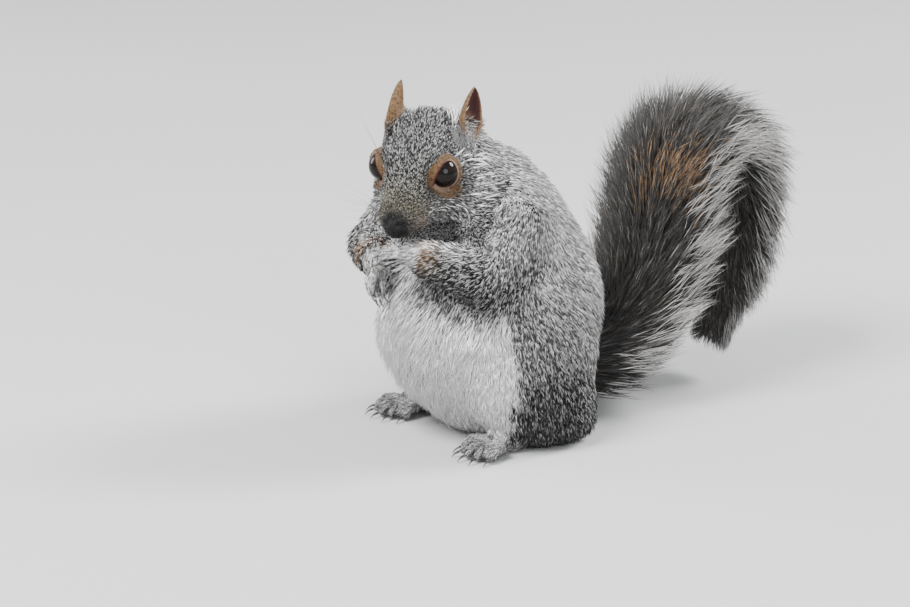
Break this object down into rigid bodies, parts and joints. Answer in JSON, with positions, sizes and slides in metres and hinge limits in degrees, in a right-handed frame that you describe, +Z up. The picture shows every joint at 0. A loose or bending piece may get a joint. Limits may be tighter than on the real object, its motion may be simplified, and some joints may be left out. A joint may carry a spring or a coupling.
{
  "type": "eastern grey squirrel",
  "caption": "Still, life-size grey squirrel sitting up on its haunches, forepaws raised to its mouth and bushy tail arched up behind.",
  "frame": {"origin": "on the floor, under the middle of the whole figure's box", "axes": "+Z up; the squirrel faces -Y with its tail towards +Y, and its left side is towards +X"},
  "size_m": [0.1086, 0.2278, 0.1611],
  "materials": {
    "grey_coat": "short dense fur, grizzled grey with a white belly",
    "paw_fur": "very short pale grey fur over bare pads",
    "ear_fur": "thin tan fur, darker bare skin inside",
    "tail_fur": "long banded hair, dark inside with a silvery fringe",
    "eye": "wet gloss",
    "claw": "smooth dark horn"
  },
  "bodies": {
    "root": {"claw_foot_left_1": "claw", "claw_foot_left_2": "claw", "claw_foot_left_3": "claw", "claw_foot_left_4": "claw", "claw_foot_left_5": "claw", "claw_foot_right_1": "claw", "claw_foot_right_2": "claw", "claw_foot_right_3": "claw", "claw_foot_right_4": "claw", "claw_foot_right_5": "claw", "claw_hand_left_1": "claw", "claw_hand_left_2": "claw", "claw_hand_left_3": "claw", "claw_hand_left_4": "claw", "claw_hand_right_1": "claw", "claw_hand_right_2": "claw", "claw_hand_right_3": "claw", "claw_hand_right_4": "claw", "ear_left": "ear_fur", "ear_right": "ear_fur", "eye_left": "eye", "eye_right": "eye", "foot_left": "paw_fur", "foot_right": "paw_fur", "forearm_left": "grey_coat", "forearm_right": "grey_coat", "hand_left": "paw_fur", "hand_right": "paw_fur", "head": "grey_coat", "neck": "grey_coat", "tail_1_base": "tail_fur", "tail_2_rise": "tail_fur", "tail_3_arch": "tail_fur", "tail_4_fall": "tail_fur", "tail_5_tip": "tail_fur", "thigh_left": "grey_coat", "thigh_right": "grey_coat", "trunk": "grey_coat", "upper_arm_left": "grey_coat", "upper_arm_right": "grey_coat"}
  },
  "joints": []
}
